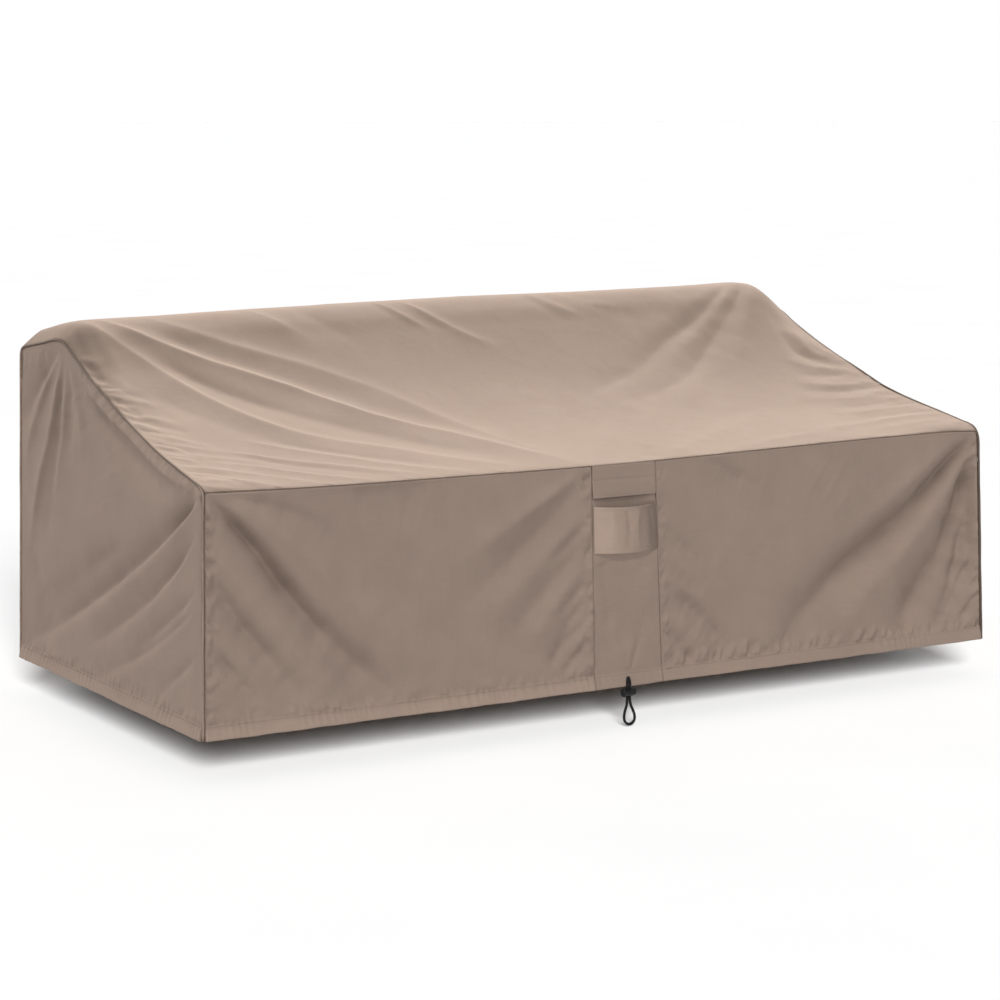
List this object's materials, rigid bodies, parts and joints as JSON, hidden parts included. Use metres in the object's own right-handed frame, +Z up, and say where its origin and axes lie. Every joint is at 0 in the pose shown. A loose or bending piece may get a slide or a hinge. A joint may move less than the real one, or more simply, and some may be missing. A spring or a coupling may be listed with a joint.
{
  "type": "outdoor sofa cover",
  "caption": "Hollow fitted cloth cover with a flat-topped high back, a sagging slope and a low front, piped side seams, a strip with a vent flap and a handle, and a hem drawcord with a lock.",
  "frame": {"origin": "on the underside of the top panel, in the middle of the ridge, where the cover is held up", "axes": "+X to the right along the ridge, +Y to the back, +Z up"},
  "size_m": [2.0355, 1.0138, 0.8933],
  "materials": {
    "woven_cloth": "matt taupe woven polyester with a faint slub",
    "piping_cloth": "matt dark brown woven piping",
    "cord_black": "black braided cord",
    "plastic_black": "black moulded plastic, slightly satin"
  },
  "bodies": {
    "root": {"top_panel": "woven_cloth", "side_panel_left": "woven_cloth", "side_panel_right": "woven_cloth", "front_panel_left": "woven_cloth", "front_panel_right": "woven_cloth", "front_panel_centre": "woven_cloth", "vent_flap": "woven_cloth", "handle_strap": "woven_cloth", "back_panel": "woven_cloth", "piping_left": "piping_cloth", "piping_right": "piping_cloth", "drawcord": "cord_black", "cord_lock_barrel": "plastic_black", "cord_lock_button": "plastic_black"}
  },
  "joints": []
}
